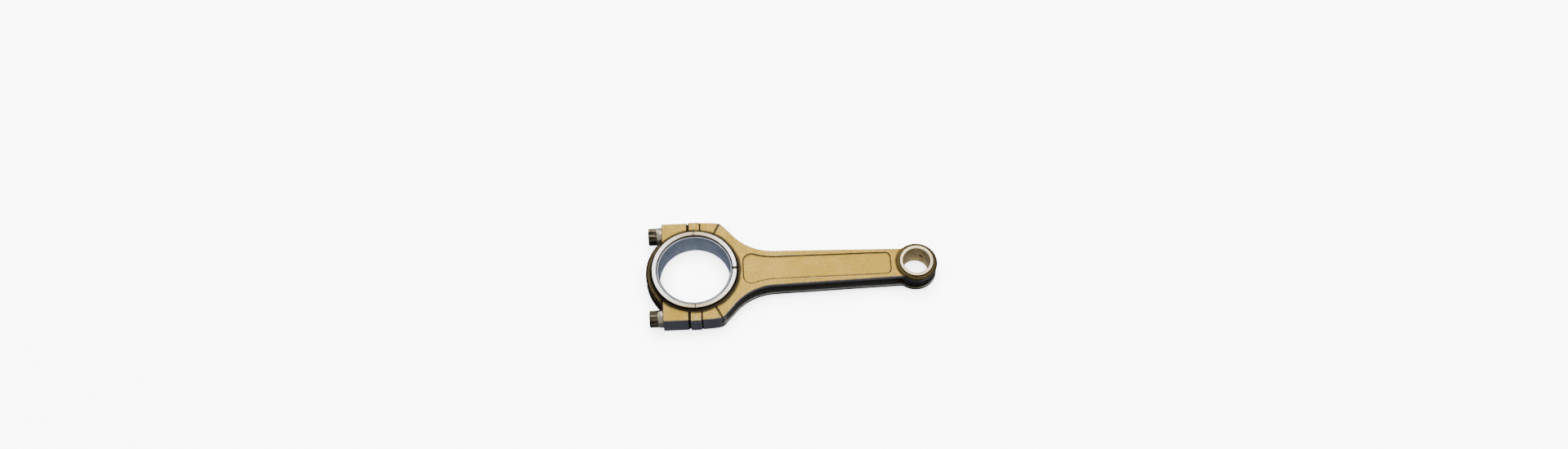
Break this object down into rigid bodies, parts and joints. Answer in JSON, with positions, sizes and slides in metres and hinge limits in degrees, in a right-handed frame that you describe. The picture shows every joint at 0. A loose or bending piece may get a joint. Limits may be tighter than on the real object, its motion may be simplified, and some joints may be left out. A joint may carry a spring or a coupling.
{
  "type": "connecting rod",
  "caption": "H-beam engine connecting rod with a bolted big-end cap, split plain bearing shells and a bronze-bushed small end.",
  "frame": {"origin": "centre of the crankpin bore, on the rod's mid plane", "axes": "+X from the crankpin bore to the wrist pin bore, +Z along the crankpin, +Y across the rod through the bolt bosses"},
  "size_m": [0.2103, 0.0792, 0.022],
  "materials": {
    "rod_steel": "shot-peened forged steel with a satin bronze-gold sheen, and ground bright thrust faces",
    "bolt_steel": "dark oiled high-strength bolt steel",
    "dowel_steel": "ground hardened steel",
    "bearing_overlay": "blue-grey bearing overlay, finely bored",
    "bush_bronze": "honed bearing bronze with pale machined end faces"
  },
  "bodies": {
    "rod": {"rod_body": "rod_steel", "small_end_bush": "bush_bronze", "bearing_shell_rod": "bearing_overlay", "ring_dowel_left": "dowel_steel", "ring_dowel_right": "dowel_steel"},
    "cap": {"rod_cap": "rod_steel", "bearing_shell_cap": "bearing_overlay"},
    "bolt_left": {"cap_bolt_left": "bolt_steel"},
    "bolt_right": {"cap_bolt_right": "bolt_steel"}
  },
  "joints": [
    {"name": "cap_removal", "type": "slide", "parent": "rod", "child": "cap", "axis": [-1, 0, 0], "range_m": [0, 0.045]},
    {"name": "bolt_left_withdraw", "type": "slide", "parent": "cap", "child": "bolt_left", "axis": [-1, 0, 0], "range_m": [0, 0.045]},
    {"name": "bolt_right_withdraw", "type": "slide", "parent": "cap", "child": "bolt_right", "axis": [-1, 0, 0], "range_m": [0, 0.045]}
  ]
}
